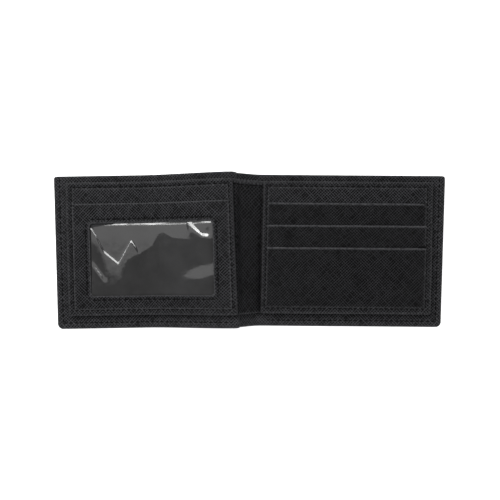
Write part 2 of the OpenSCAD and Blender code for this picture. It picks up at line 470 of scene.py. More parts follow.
@dataclass(frozen=True)
class LeafPlan:
    """Outline sizes of one leaf, in millimetres."""

    length: float = 109.1
    half: float = 44.5
    set_back: float = 2.6
    panel_out: float = 101.2
    panel_low: float = -36.6
    panel_high: float = 40.4
    rim: float = 4.0
    rim_spine: float = 3.0
    hem: float = 5.0
    hem_stitch: float = 3.5
    panel_stitch: float = 3.2
    spine_stitch: float = 2.4
    mouths: tuple[float, float, float] = (27.9, 14.9, 1.9)
    id_mouth: float = 28.1

    @property
    def clear_low(self) -> float:
        """Spine-side end of the pockets."""
        return self.set_back + self.rim_spine

    @property
    def clear_out(self) -> float:
        """Free-side end of the pockets."""
        return self.panel_out - self.rim

    @property
    def clear_bottom(self) -> float:
        """Bottom end of the pockets."""
        return self.panel_low + self.rim

    @property
    def clear_top(self) -> float:
        """Lower edge of the top rim."""
        return self.panel_high - self.rim


PLAN = LeafPlan()
LAYER = Layers()


def smooth(t: Array) -> Array:
    """A smooth step from 0 to 1."""
    t = np.clip(t, 0.0, 1.0)
    return t * t * (3 - 2 * t)


def ripple(u: Array, v: Array, seed: float, size: float) -> Array:
    """A slow unevenness, the same at every run.

    Args:
        u: Coordinates along the leaf.
        v: Coordinates across the leaf.
        seed: Number that chooses the pattern.
        size: Length in millimetres of its longest wave.

    Returns:
        Values of about -1 to 1.
    """
    total = np.zeros(np.broadcast(u, v).shape)
    for k in range(1, 5):
        angle = seed * 1.7 + k * 2.399
        wave = (u * math.cos(angle) + v * math.sin(angle)) * 2 * math.pi / size * (0.7 + 0.35 * k)
        total = total + np.sin(wave + seed * k * 3.1) / k
    return total / 1.8


class Bezier:
    """A chain of cubic curves in the plane of x and z, measured by its length."""

    def __init__(self, points: Sequence[tuple[float, float]], steps: int = 60) -> None:
        """Samples the chain.

        Args:
            points: End, handle, handle, end, handle, handle, end and so on.
            steps: Samples of each curve.
        """
        rows = []
        for i in range(0, len(points) - 1, 3):
            p = [np.array(q, float) for q in points[i:i + 4]]
            t = np.linspace(0, 1, steps, endpoint=False)[:, None]
            rows.append((1 - t) ** 3 * p[0] + 3 * (1 - t) ** 2 * t * p[1]
                        + 3 * (1 - t) * t * t * p[2] + t ** 3 * p[3])
        rows.append(np.array([points[-1]], float))
        self.points = np.vstack(rows)
        gaps = np.linalg.norm(np.diff(self.points, axis=0), axis=1)
        self.at = np.concatenate([[0.0], np.cumsum(gaps)])
        self.length = float(self.at[-1])

    def beside(self, at_ends: float, between: float) -> "Bezier":
        """The same course, moved towards the inside of the wallet.

        Args:
            at_ends: Distance to move near both ends.
            between: Distance to move in the middle.

        Returns:
            The moved course.
        """
        moved = Bezier.__new__(Bezier)
        nx, nz = self.normal(self.at)
        end = np.minimum(self.at, self.length - self.at)
        off = between + (at_ends - between) * smooth(1 - end / 5.0)
        moved.points = self.points + np.column_stack([nx * off, nz * off])
        gaps = np.linalg.norm(np.diff(moved.points, axis=0), axis=1)
        moved.at = np.concatenate([[0.0], np.cumsum(gaps)])
        moved.length = float(moved.at[-1])
        return moved

    def point(self, a: Array) -> tuple[Array, Array]:
        """Points at distances along the chain, as their x and z."""
        return np.interp(a, self.at, self.points[:, 0]), np.interp(a, self.at, self.points[:, 1])

    def normal(self, a: Array) -> tuple[Array, Array]:
        """Unit normals towards the inside of the wallet.

        Args:
            a: Distances along the chain.

        Returns:
            The normals' x and z.
        """
        eps = 0.35
        x0, z0 = self.point(np.clip(a - eps, 0, self.length))
        x1, z1 = self.point(np.clip(a + eps, 0, self.length))
        dx, dz = x1 - x0, z1 - z0
        size = np.hypot(dx, dz)
        return dz / size, -dx / size


class Lay:
    """Places leaf coordinates in the shared frame as the opened wallet lies on the table."""

    RUN = 57.0
    LONGER = 1.001
    WIDER = 1.0095
    RAISED = 0.2
    FALL = {Side.RIGHT: math.tan(math.radians(0.45)), Side.LEFT: math.tan(math.radians(0.95))}

    def __init__(self) -> None:
        """Reads the creases from the frame and samples the curve of the left leaf."""
        joints = {j["name"]: j for j in frame["joints"]}
        self.right_x, _, self.right_z = (c / MM for c in joints["crease_right"]["pos_m"])
        self.ridge_x, _, self.ridge_z = (c / MM for c in joints["crease_left"]["pos_m"])
        self.rise = self.ridge_z - self.right_z
        self.slope = math.atan2(self.rise, self.right_x - self.ridge_x)
        across = np.linspace(0, 140, 2801)
        drop = self.rise * smooth(across / self.RUN)
        steps = np.hypot(np.diff(across), np.diff(drop))
        self.arc = np.concatenate([[0.0], np.cumsum(steps)])
        self.arc_x = self.ridge_x - across
        self.arc_z = self.ridge_z - drop

    def section(self, side: Side, u: Array, h: Array) -> tuple[Array, Array]:
        """Places points of a leaf in the plane of x and z.

        Args:
            side: The leaf.
            u: Distance from the crease.
            h: Height above the outer surface.

        Returns:
            The points' x and z.
        """
        if side is Side.RIGHT:
            return self.right_x + u, h + 0 * u
        along = u * self.LONGER
        eps = 0.4
        x = np.interp(along, self.arc, self.arc_x) - np.minimum(along, 0)
        z = np.interp(along, self.arc, self.arc_z)
        dx = np.interp(along + eps, self.arc, self.arc_x) - np.interp(along, self.arc, self.arc_x)
        dz = np.interp(along + eps, self.arc, self.arc_z) - np.interp(along, self.arc, self.arc_z)
        size = np.hypot(dx, dz)
        out = h - self.right_z
        return x + out * dz / size, z - out * dx / size

    def settle(self, x: Array, v: Array, lean: Array, fall: Array, z: Array) -> Array:
        """Turns the leaves a little outward in their own plane, as they lie.

        Args:
            x: Place along X.
            v: Place across the leaf.
            lean: Slope of the crease lines, in degrees, positive when the top leans to +X.
            fall: How far the leaf has dropped towards -Y.
            z: Height.

        Returns:
            Points in metres, one row each.
        """
        return np.stack([x + np.tan(np.radians(lean)) * v, v - fall, z], axis=-1) * MM

    def lean(self, side: Side, u: Array) -> Array:
        """Slope of the lines that run across a leaf.

        Args:
            side: The leaf.
            u: Distances from its crease.

        Returns:
            The slopes in degrees.
        """
        if side is Side.RIGHT:
            return 1.35 + 0.4 * u / PLAN.length
        return -1.6 - 1.3 * np.exp(-np.maximum(u, 0) / 3.0)

    def leaf(self, side: Side) -> Callable[[Array], Array]:
        """The placing of a piece that lies wholly on one leaf.

        Args:
            side: The leaf.

        Returns:
            A function from rows of (u, v, h) to points in metres.
        """
        def place(co: Array) -> Array:
            """Places rows of leaf coordinates.

            Args:
                co: Rows of (u, v, h).

            Returns:
                Rows of points in metres.
            """
            u, v, h = co.T
            x, z = self.section(side, u, h)
            if side is Side.LEFT:
                v = v * self.WIDER + self.RAISED
            return self.settle(x, v, self.lean(side, u), self.FALL[side] * u, z)

        return place

    def crossing(self, side: Side, path: Bezier, mid: float,
                 joins: tuple[float, float]) -> tuple[Callable[[Array], Array], float]:
        """The placing of a sheet that runs from one leaf over its crease to the spine's middle.

        Args:
            side: The leaf.
            path: The sheet's course from the right leaf to the left leaf.
            mid: Height of the path above the outer surface on the leaf.
            joins: Distances from the creases at which the path meets the right and left leaf.

        Returns:
            A function from rows of (s, v, h) to points in metres, and the s of the middle.
        """
        middle = 0.5 * (self.right_x - self.ridge_x) / math.cos(self.slope)
        d = (path.points - np.array([self.right_x, self.right_z])) @ np.array(
            [-math.cos(self.slope), math.sin(self.slope)])
        cut = float(path.at[int(np.argmax(d >= middle))])
        reach = cut if side is Side.RIGHT else path.length - cut
        join = joins[0] if side is Side.RIGHT else joins[1]
        leans = [float(self.lean(s, np.array([j]))[0])
                 for s, j in zip((Side.RIGHT, Side.LEFT), joins)]
        falls = [self.FALL[s] * j for s, j in zip((Side.RIGHT, Side.LEFT), joins)]
        on_leaf = self.leaf(side)

        def place(co: Array) -> Array:
            """Places rows of sheet coordinates on the leaf or along the course.

            Args:
                co: Rows of (s, v, h).

            Returns:
                Rows of points in metres.
            """
            s, v, h = co.T
            flat = on_leaf(np.stack([np.maximum(s, join), v, h], axis=-1))
            back = np.maximum(join - s, 0.0)
            a = back if side is Side.RIGHT else path.length - back
            x, z = path.point(a)
            nx, nz = path.normal(a)
            part = a / path.length
            lean = leans[0] * (1 - part) + leans[1] * part
            grown = v * (1 + (self.WIDER - 1) * part) + self.RAISED * part
            fall = falls[0] * (1 - part) + falls[1] * part
            bent = self.settle(x + (h - mid) * nx, grown, lean, fall, z + (h - mid) * nz)
            return np.where((s < join)[:, None], bent, flat)

        return place, join - reach


# ---------------------------------------------------------------- drafting


@dataclass
class Draft:
    """A mesh in leaf coordinates, before it is placed."""

    points: Array
    faces: list[tuple[int, ...]]
    # Per point amount of painted highlight and of smoothing of the pressed lines.
    highlight_and_smoothing: Array | None = None
    flat: Array | None = None

    def joined(self, other: "Draft") -> "Draft":
        """This draft with another one's points and faces added.

        Args:
            other: The draft to add.

        Returns:
            Both as one draft.
        """
        shift = len(self.points)
        faces = self.faces + [tuple(i + shift for i in f) for f in other.faces]
        return Draft(np.vstack([self.points, other.points]), faces)

    def build(self, name: str, place: Callable[[Array], Array], material: bpy.types.Material,
              weld: float = 2e-6) -> bpy.types.Object:
        """Places the draft and makes it an object.

        Args:
            name: Name of the piece.
            place: Placing of rows of (u, v, h).
            material: The finish.
            weld: Distance in metres under which points become one.

        Returns:
            The new piece.
        """
        mesh = bpy.data.meshes.new(name)
        world = place(self.points)
        mesh.from_pydata(world.tolist(), [], self.faces)
        layer = mesh.uv_layers.new(name="flat")
        index = np.zeros(len(mesh.loops), np.int32)
        mesh.loops.foreach_get("vertex_index", index)
        uv = (self.points[:, :2] if self.flat is None else self.flat) / 10.0
        layer.data.foreach_set("uv", uv[index].ravel())
        # Stores where the leather gets its painted highlight and smoother pressed lines.
        if self.highlight_and_smoothing is not None:
            highlight_and_smoothing_field = mesh.attributes.new("highlight_and_smoothing", "FLOAT", "POINT")
            highlight_and_smoothing_field.data.foreach_set("value", np.clip(self.highlight_and_smoothing, 0, 1).astype(np.float32))
        piece = bpy.data.objects.new(name, mesh)
        bpy.context.scene.collection.objects.link(piece)
        mesh.materials.append(material)
        tidy_mesh(mesh, weld)
        mesh.polygons.foreach_set("use_smooth", [True] * len(mesh.polygons))
        return piece


def tidy_mesh(mesh: bpy.types.Mesh, weld: float) -> None:
    """Welds doubled points and turns all faces outward.

    Args:
        mesh: The mesh to tidy.
        weld: Distance in metres under which points become one.
    """
    bm = bmesh.new()
    bm.from_mesh(mesh)
    bmesh.ops.remove_doubles(bm, verts=bm.verts, dist=weld)
    bmesh.ops.recalc_face_normals(bm, faces=bm.faces)
    bm.to_mesh(mesh)
    bm.free()


def lines(lo: float, hi: float, step: float, edge: float, dense: Iterable[float] = ()) -> Array:
    """Grid lines from lo to hi, closer together at both ends and near chosen places.

    Args:
        lo: First line.
        hi: Last line.
        step: Widest spacing.
        edge: Radius of the rounded ends.
        dense: Places that need close lines.

    Returns:
        The lines in order.
    """
    count = max(2, int(math.ceil((hi - lo) / step)))
    found = list(np.linspace(lo, hi, count + 1))
    for share in (0.0, 0.1, 0.3, 0.6, 1.0, 1.7):
        found += [lo + share * edge, hi - share * edge]
    for place in dense:
        found += [place + d for d in (-1.1, -0.7, -0.4, -0.18, 0.0, 0.18, 0.4, 0.7, 1.1)]
    found = sorted(x for x in found if lo <= x <= hi)
    kept = [found[0]]
    for x in found[1:]:
        if x - kept[-1] > 0.06 * min(1.0, max(edge, 0.2)):
            kept.append(x)
    kept[-1] = hi
    return np.array(kept)


@dataclass(frozen=True)
class Corners:
    """Corner radii of a sheet: low u and high u, at the bottom and at the top."""

    low_bottom: float = 0.0
    low_top: float = 0.0
    out_bottom: float = 0.0
    out_top: float = 0.0


@dataclass(frozen=True)
class Sheet:
    """A flat layer of leather or cloth with softly rounded free edges."""

    u: tuple[float, float]
    v: tuple[float, float]
    h: tuple[float, float]
    corners: Corners = Corners()
    free: tuple[bool, bool, bool, bool] = (True, True, True, True)
    step: float = 1.3
    dense_u: tuple[float, ...] = ()
    dense_v: tuple[float, ...] = ()
    top: Field | None = None
    bottom: Field | None = None
    # Extra painted highlight and smoothing of the pressed lines on the upper face.
    highlight_and_smoothing_field: Field | None = None

    def draft(self) -> Draft:
        """Builds the closed sheet.

        Returns:
            The draft, with its top, bottom and sides.
        """
        radius = (self.h[1] - self.h[0]) / 2
        us = lines(*self.u, self.step, radius, self.dense_u)
        vs = lines(*self.v, self.step, radius, self.dense_v)
        uu, vv = np.meshgrid(us, vs, indexing="ij")
        uu, vv = self.rounded(uu, vv)
        d = self.inset(uu, vv)
        drop = radius - np.sqrt(np.clip(radius ** 2 - np.clip(radius - d, 0, radius) ** 2, 0, None))
        fade = np.clip(d / (2 * radius), 0, 1)
        rise = self.top(uu, vv) * fade if self.top else 0.0
        sink = self.bottom(uu, vv) * fade if self.bottom else 0.0
        upper = self.h[1] - drop + rise
        lower = self.h[0] + drop + sink
        nu, nv = uu.shape
        points = np.concatenate([np.stack([uu, vv, upper], -1).reshape(-1, 3),
                                 np.stack([uu, vv, lower], -1).reshape(-1, 3)])
        # Painted highlight and smoothing of the pressed lines along every free edge, on both faces.
        edge_highlight_and_smoothing = 0.4 * np.exp(-((d - 0.2) / 0.6) ** 2)
        face = edge_highlight_and_smoothing + self.highlight_and_smoothing_field(uu, vv) if self.highlight_and_smoothing_field else edge_highlight_and_smoothing
        highlight_and_smoothing = np.concatenate([face.ravel(), edge_highlight_and_smoothing.ravel()])
        flat = np.stack([uu, vv], -1).reshape(-1, 2)
        flat = np.concatenate([flat, flat + self.overhang(uu, vv)])
        top = np.arange(nu * nv).reshape(nu, nv)
        low = top + nu * nv
        faces = []
        for grid, flip in ((top, False), (low, True)):
            a, b, c, e = grid[:-1, :-1], grid[1:, :-1], grid[1:, 1:], grid[:-1, 1:]
            quads = np.stack([a, b, c, e] if not flip else [a, e, c, b], -1).reshape(-1, 4)
            faces += [tuple(q) for q in quads.tolist()]
        rim_t = np.concatenate([top[:-1, 0], top[-1, :-1], top[:0:-1, -1], top[0, :0:-1]])
        rim_l = np.concatenate([low[:-1, 0], low[-1, :-1], low[:0:-1, -1], low[0, :0:-1]])
        count = len(rim_t)
        for i in range(count):
            j = (i + 1) % count
            faces.append((int(rim_t[i]), int(rim_l[i]), int(rim_l[j]), int(rim_t[j])))
        return Draft(points, faces, highlight_and_smoothing, flat)

    def overhang(self, uu: Array, vv: Array) -> Array:
        """How far the lower face's pattern is pushed outward, so it runs on over the sides.

        Args:
            uu: Places along the leaf.
            vv: Places across the leaf.

        Returns:
            Rows of shifts along u and v.
        """
        thick = self.h[1] - self.h[0]
        shifts = []
        for place, (lo, hi), near, far in ((uu, self.u, self.free[0], self.free[1]),
                                           (vv, self.v, self.free[2], self.free[3])):
            share = np.clip((place - (lo + hi) / 2) / ((hi - lo) / 2), -1 if near else 0,
                            1 if far else 0)
            shifts.append(share * thick)
        return np.stack(shifts, -1).reshape(-1, 2)

    def rounded(self, uu: Array, vv: Array) -> tuple[Array, Array]:
        """Pulls the grid's corners onto their arcs.

        Args:
            uu: Places along the leaf.
            vv: Places across the leaf.

        Returns:
            Both, with the corners rounded.
        """
        c = self.corners
        out_u, out_v = uu.copy(), vv.copy()
        for r, su, sv, cu, cv in ((c.low_bottom, -1, -1, self.u[0], self.v[0]),
                                  (c.low_top, -1, 1, self.u[0], self.v[1]),
                                  (c.out_bottom, 1, -1, self.u[1], self.v[0]),
                                  (c.out_top, 1, 1, self.u[1], self.v[1])):
            if r <= 0:
                continue
            a = (uu - (cu - su * r)) * su / r
            b = (vv - (cv - sv * r)) * sv / r
            near = (a > 0) & (b > 0)
            aa = a * np.sqrt(np.clip(1 - b * b / 2, 0, None))
            bb = b * np.sqrt(np.clip(1 - a * a / 2, 0, None))
            out_u = np.where(near, cu - su * r + su * r * aa, out_u)
            out_v = np.where(near, cv - sv * r + sv * r * bb, out_v)
        return out_u, out_v

    def inset(self, uu: Array, vv: Array) -> Array:
        """Distance of each point from the nearest free edge.

        Args:
            uu: Places along the leaf.
            vv: Places across the leaf.

        Returns:
            The distances.
        """
        far = 1e3
        low_u = uu - self.u[0] if self.free[0] else far + 0 * uu
        out_u = self.u[1] - uu if self.free[1] else far + 0 * uu
        low_v = vv - self.v[0] if self.free[2] else far + 0 * uu
        out_v = self.v[1] - vv if self.free[3] else far + 0 * uu
        d = np.minimum(np.minimum(low_u, out_u), np.minimum(low_v, out_v))
        c = self.corners
        for r, a, b in ((c.low_bottom, low_u, low_v), (c.low_top, low_u, out_v),
                        (c.out_bottom, out_u, low_v), (c.out_top, out_u, out_v)):
            if r > 0:
                near = (a < r) & (b < r)
                d = np.where(near, r - np.hypot(r - a, r - b), d)
        return np.clip(d, 0, None)


def groove(distance: Array, depth: float, width: float) -> Array:
    """A soft furrow.

    Args:
        distance: Distance from its middle line.
        depth: Depth at the middle.
        width: Distance at which it has faded to a third.

    Returns:
        Heights of 0 or less.
    """
    return -depth * np.exp(-(distance / width) ** 2)


def box_loop(u: tuple[float, float], v: tuple[float, float], radius: float,
             counts: tuple[int, int, int]) -> Array:
    """Points around a rectangle with rounded corners.

    Args:
        u: Its range along the leaf.
        v: Its range across the leaf.
        radius: Corner radius.
        counts: Points along a long side, along a short side and round a corner.

    Returns:
        Rows of (u, v), starting on the bottom side.
    """
    nu, nv, nc = counts
    centres = ((u[1] - radius, v[0] + radius, -90), (u[1] - radius, v[1] - radius, 0),
               (u[0] + radius, v[1] - radius, 90), (u[0] + radius, v[0] + radius, 180))
    starts = ((u[0] + radius, v[0]), (u[1], v[0] + radius), (u[1] - radius, v[1]),
              (u[0], v[1] - radius))
    ends = ((u[1] - radius, v[0]), (u[1], v[1] - radius), (u[0] + radius, v[1]),
            (u[0], v[0] + radius))
    rows = []
    for side in range(4):
        n = nu if side % 2 == 0 else nv
        t = np.linspace(0, 1, n, endpoint=False)[:, None]
        rows.append(np.array(starts[side]) * (1 - t) + np.array(ends[side]) * t)
        cu, cv, first = centres[side]
        angle = np.radians(first + 90 * np.linspace(0, 1, nc, endpoint=False))
        rows.append(np.stack([cu + radius * np.cos(angle), cv + radius * np.sin(angle)], -1))
    return np.vstack(rows)


@dataclass(frozen=True)
class Band:
    """A closed band between an outer and an inner loop, such as a sewn rim or a window frame."""

    outer: Array
    inner: Array
    bottom: float
    top: Callable[[Array, Array, float], Array]
    rows: tuple[float, ...]
    edge: float = 0.4
    # Strength of the painted highlight and smoothing of the pressed lines along the band's edges.
    highlight_and_smoothing_amount: float = 0.5

    def draft(self) -> Draft:
        """Builds the band.

        Returns:
            The draft, closed all round.
        """
        width = float(np.median(np.linalg.norm(self.inner - self.outer, axis=1)))
        rows, highlight_and_smoothing, pattern = [], [], []
        away = self.outer - self.inner
        away = away / np.linalg.norm(away, axis=1)[:, None]
        for t in self.rows:
            flat = self.outer * (1 - t) + self.inner * t
            pattern.append(flat)
            d = min(t, 1 - t) * width
            # Painted highlight and smoothing, strongest near the band's two edges.
            highlight_and_smoothing.append(np.full(len(flat), self.highlight_and_smoothing_amount * math.exp(-((d - 0.25) / 0.7) ** 2)))
            r = self.edge
            drop = r - math.sqrt(max(r * r - max(r - d, 0) ** 2, 0))
            rows.append(np.column_stack([flat, self.top(flat[:, 0], flat[:, 1], t) - drop]))
        for t in (1.0, 0.5, 0.0):
            flat = self.outer * (1 - t) + self.inner * t
            wall = rows[-1 if t == 1.0 else 0][:, 2:] - self.bottom
            pattern.append(flat + away * wall * (1 - 2 * t))
            rows.append(np.column_stack([flat, np.full(len(flat), self.bottom)]))
            highlight_and_smoothing.append(np.zeros(len(flat)))
        n, m = len(self.outer), len(rows)
        faces = []
        for i in range(m):
            for j in range(n):
                a, b = i * n + j, i * n + (j + 1) % n
                c, e = ((i + 1) % m) * n + (j + 1) % n, ((i + 1) % m) * n + j
                faces.append((a, b, c, e))
        return Draft(np.vstack(rows), faces, np.concatenate(highlight_and_smoothing), np.vstack(pattern))


@dataclass(frozen=True)
class Stitching:
    """Runs of thread stitches, each a short plump length that dips at its ends."""

    pitch: float = 3.0
    length: float = 2.25
    width: float = 0.8
    height: float = 0.46

    def run(self, path: Array, lift: Callable[[Array, Array], Array]) -> Draft:
        """Lays stitches along a path.

        Args:
            path: Rows of (u, v).
            lift: Height of the surface under the thread.

        Returns:
            The draft of the whole run.
        """
        gaps = np.linalg.norm(np.diff(path, axis=0), axis=1)
        at = np.concatenate([[0.0], np.cumsum(gaps)])
        count = max(1, int(round(at[-1] / self.pitch)))
        step = at[-1] / count
        points: list[Array] = []
        faces: list[tuple[int, ...]] = []
        sides, rings = 8, 7
        along = np.linspace(-0.5, 0.5, rings)
        for k in range(count):
            middle = (k + 0.5) * step
            wobble = 0.05 * math.sin(k * 2.4)
            base = len(points) * sides * rings
            centre = np.array([[np.interp(middle + s * self.length, at, path[:, i])
                                for i in (0, 1)] for s in along])
            heading = centre[-1] - centre[0]
            heading = heading / np.linalg.norm(heading)
            across = np.array([-heading[1], heading[0]])
            ground = lift(centre[:, 0], centre[:, 1])
            rows = []
            for i, s in enumerate(along):
                swell = math.sqrt(max(0.06, 1 - (2 * s) ** 4))
                dip = -0.34 * (2 * s) ** 4
                turn = np.linspace(0, 2 * math.pi, sides, endpoint=False)
                side = np.cos(turn) * self.width / 2 * swell + wobble * (2 * s)
                up = np.sin(turn) * self.height / 2 * swell + dip + self.height * 0.30
                rows.append(np.column_stack([centre[i, 0] + side * across[0],
                                             centre[i, 1] + side * across[1], ground[i] + up]))
            points.append(np.vstack(rows))
            for i in range(rings - 1):
                for j in range(sides):
                    n = (j + 1) % sides
                    faces.append((base + i * sides + j, base + i * sides + n,
                                  base + (i + 1) * sides + n, base + (i + 1) * sides + j))
            faces.append(tuple(base + j for j in range(sides)))
            faces.append(tuple(base + (rings - 1) * sides + j for j in reversed(range(sides))))
        return Draft(np.vstack(points), faces)


@dataclass(frozen=True)
class Level:
    """A surface of one height."""

    height: float

    def __call__(self, u: Array, v: Array) -> Array:
        """The height at each place."""
        return self.height + 0 * u


def straight(a: tuple[float, float], b: tuple[float, float]) -> Array:
    """A straight path from a to b, finely sampled."""
    count = max(2, int(math.hypot(b[0] - a[0], b[1] - a[1]) / 0.5))
    return np.linspace(a, b, count)


def several(drafts: Sequence[Draft]) -> Draft:
    """Joins drafts.

    Args:
        drafts: The drafts in order.

    Returns:
        All of them as one.
    """
    whole = drafts[0]
    for d in drafts[1:]:
        whole = whole.joined(d)
    return whole


def register(piece: bpy.types.Object, slot: str, *nodes: str) -> None:
    """Hides the CAD nodes that the piece stands for and logs its number of faces.

    Args:
        piece: The new piece.
        slot: Not used.
        *nodes: CAD nodes that it replaces.
    """
    if nodes:
        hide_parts(*nodes)
    LOG.info("%s: %d faces", piece.name, len(piece.data.polygons))


# ---------------------------------------------------------------- sub-assemblies


@dataclass
class LeafWork:
    """What every sub-assembly of one leaf shares: its place, its finishes and its side."""

    lay: Lay
    finish: Finishes
    side: Side

    def mount(self, draft: Draft, name: str, material: bpy.types.Material, slot: str,
              *nodes: str, weld: float = 2e-6) -> None:
        """Makes a piece that lies wholly on the leaf and moves with it.

        Args:
            draft: The drafted piece.
            name: Its name.
            material: Its finish.
            slot: Material slot of the record.
            *nodes: CAD nodes that it replaces.
            weld: Distance in metres under which points become one.
        """
        piece = draft.build(name, self.lay.leaf(self.side), material, weld)
        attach(piece, self.side.value)
        register(piece, slot, *nodes)

    def bend(self, piece: bpy.types.Object) -> None:
        """Bakes the piece's placing into its mesh.

        Args:
            piece: The piece.
        """
        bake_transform(piece)

    def over_ridge(self, joins: tuple[float, float], handles: tuple[float, float],
                   ways: Sequence[tuple[float, float]], mid: float) -> Bezier:
        """The course of a layer from the right leaf over the spine to the left leaf.

        Args:
            joins: Distances from the creases at which it leaves and meets the leaves.
            handles: Lengths of the curve's handles there.
            ways: Handles and ends between, from the ridge line and the right leaf's height.
            mid: Height of the layer on the leaves.

        Returns:
            The curve.
        """
        lay = self.lay
        (rx, lx), (rz, lz) = zip(*(lay.section(s, np.array([j, j + 0.5]), np.array([mid, mid]))
                                   for s, j in zip((Side.RIGHT, Side.LEFT), joins)))
        away = np.array([lx[0] - lx[1], lz[0] - lz[1]])
        away = away / np.linalg.norm(away)
        return Bezier([(rx[0], rz[0]), (rx[0] - handles[0], rz[0]),
                       *((lay.ridge_x + x, lay.right_z + z) for x, z in ways),
                       (lx[0] + away[0] * handles[1], lz[0] + away[1] * handles[1]),
                       (lx[0], lz[0])])


@dataclass
class Shell(LeafWork):
    """The outer cover, its boards and the lining, from one free edge to the spine's middle."""

    joins: tuple[float, float] = (3.0, 3.6)
    handles: tuple[float, float] = (4.7, 1.9)
    ways: tuple[tuple[float, float], ...] = ((7.0, 1.8), (4.2, 3.6), (1.6, 5.2), (-1.0, 6.2),
                                             (-1.45, 8.4), (-1.65, 10.0))
    plan: LeafPlan = LeafPlan()

    def course(self, mid: float, spine_mid: float) -> Bezier:
        """The course of a layer over the spine.

        Args:
            mid: Its height above the outer surface on the leaves.
            spine_mid: Its height above the outer surface on the spine.

        Returns:
            The curve from the right leaf to the left leaf.
        """
        middle = LAYER.cover / 2
        base = self.over_ridge(self.joins, self.handles, self.ways, middle)
        return base.beside(mid - middle, spine_mid - middle)

    def sheet(self, name: str, h: tuple[float, float], spine_h: tuple[float, float],
              inset: float, material: bpy.types.Material, top: Field | None,
              dense: bool) -> bpy.types.Object:
        """One full-size layer of the shell, bent over its crease.

        Args:
            name: Name of the piece.
            h: Bottom and top heights on the leaf.
            spine_h: Bottom and top heights on the spine.
            inset: How far it stays inside the outline.
            material: Its finish.
            top: Extra height of the upper surface.
            dense: Whether the grid is fine along the hem stitching.

        Returns:
            The new piece.
        """
        plan = self.plan
        mid = sum(h) / 2
        place, start = self.lay.crossing(self.side, self.course(mid, sum(spine_h) / 2), mid,
                                         self.joins)
        row = plan.hem_stitch
        places_v = (-plan.half + row,) if dense else ()
        places_u = (plan.length - row,) if dense else ()
        sheet = Sheet(u=(start, plan.length - inset),
                      v=(-plan.half + inset, plan.half - inset * 0.3), h=h,
                      corners=Corners(out_bottom=3.0, out_top=1.6),
                      free=(False, True, True, True), step=1.2, dense_u=places_u,
                      dense_v=places_v, top=top, highlight_and_smoothing_field=self.highlight_and_smoothing_field if dense else None)
        piece = sheet.draft().build(name, place, material)
        self.bend(piece)
        return piece

    def highlight_and_smoothing_field(self, u: Array, v: Array) -> Array:
        """Painted highlight and smoothing of the lining beside its hem stitching.

        Args:
            u: Places along the leaf.
            v: Places across the leaf.

        Returns:
            The amount, from 0 to 1.
        """
        low = np.abs(v + self.plan.half - self.plan.hem_stitch)
        out = np.abs(u - self.plan.length + self.plan.hem_stitch)
        return 0.2 * np.exp(-(np.minimum(low, out) / 1.3) ** 2)

    def hem_surface(self, u: Array, v: Array) -> Array:
        """Height of the lining around the hem stitching.

        Args:
            u: Places along the leaf.
            v: Places across the leaf.

        Returns:
            Heights over the flat sheet.
        """
        plan = self.plan
        low = np.abs(v + plan.half - plan.hem_stitch)
        out = np.abs(u - plan.length + plan.hem_stitch)
        beyond = np.clip((plan.hem_stitch - (v + plan.half)) / 1.0, 0, 1)
        past = np.clip((u - plan.length + plan.hem_stitch) / 1.0, 0, 1)
        low = np.where((u > 6) & (past < 1), low, 9)
        out = np.where((v < plan.half - 1) & (beyond < 1), out, 9)
        furrow = groove(np.minimum(low, out), 0.34, 0.55)
        body = 0.10 * ripple(u, v, 2.0 if self.side is Side.RIGHT else 5.0, 60)
        edge = np.minimum(v + plan.half, plan.length - u)
        soft = 0.16 * np.exp(-((edge - 1.8) / 0.9) ** 2)
        return furrow + body * np.clip((edge - 4) / 6, 0, 1) + soft

    def make(self) -> None:
        """Builds the cover, board and lining of this side."""
        word = self.side.word
        plan = self.plan
        cover = self.sheet(f"outer_cover_{word}", (0.0, LAYER.board - 0.05), (0.0, LAYER.cover),
                           0.0, self.finish.cover, None, False)
        nodes = [f"{n}_{word}" for n in ("cover", "top_fold", "hem_side", "hem_bottom")]
        if self.side is Side.RIGHT:
            nodes.append("cover_spine")
        register(cover, "cover_leather", *nodes)
        lining = self.sheet(f"back_lining_{word}", (LAYER.board - 0.02, LAYER.lining),
                            (LAYER.cover, LAYER.board), 0.25, self.finish.lining,
                            self.hem_surface, True)
        register(lining, "inner_leather", f"lining_{word}",
                 *(["lining_spine"] if self.side is Side.RIGHT else []))
        board = Sheet(u=(plan.set_back + 2.5, plan.length - plan.hem),
                      v=(-plan.half + plan.hem, plan.half - 1.5), h=(0.5, 1.0), step=6.0)
        self.mount(board.draft(), f"stiffener_{word}", self.finish.board, "stiff_board",
                   f"board_{word}")
        self.stitch()

    def stitch(self) -> None:
        """Sews the hem along the bottom and the free side."""
        plan = self.plan
        out = plan.length - plan.hem_stitch
        low = -plan.half + plan.hem_stitch
        lift = Level(LAYER.lining - 0.26)
        start = plan.set_back + (3.0 if self.side is Side.RIGHT else 1.2)
        runs = [Stitching().run(straight(a, b), lift)
                for a, b in (((start, low), (out, low)), ((out, low), (out, plan.half - 1.4)))]
        self.mount(several(runs), f"hem_thread_{self.side.word}", self.finish.thread,
                   "black_thread", f"hem_stitches_{self.side.word}", weld=0.0)


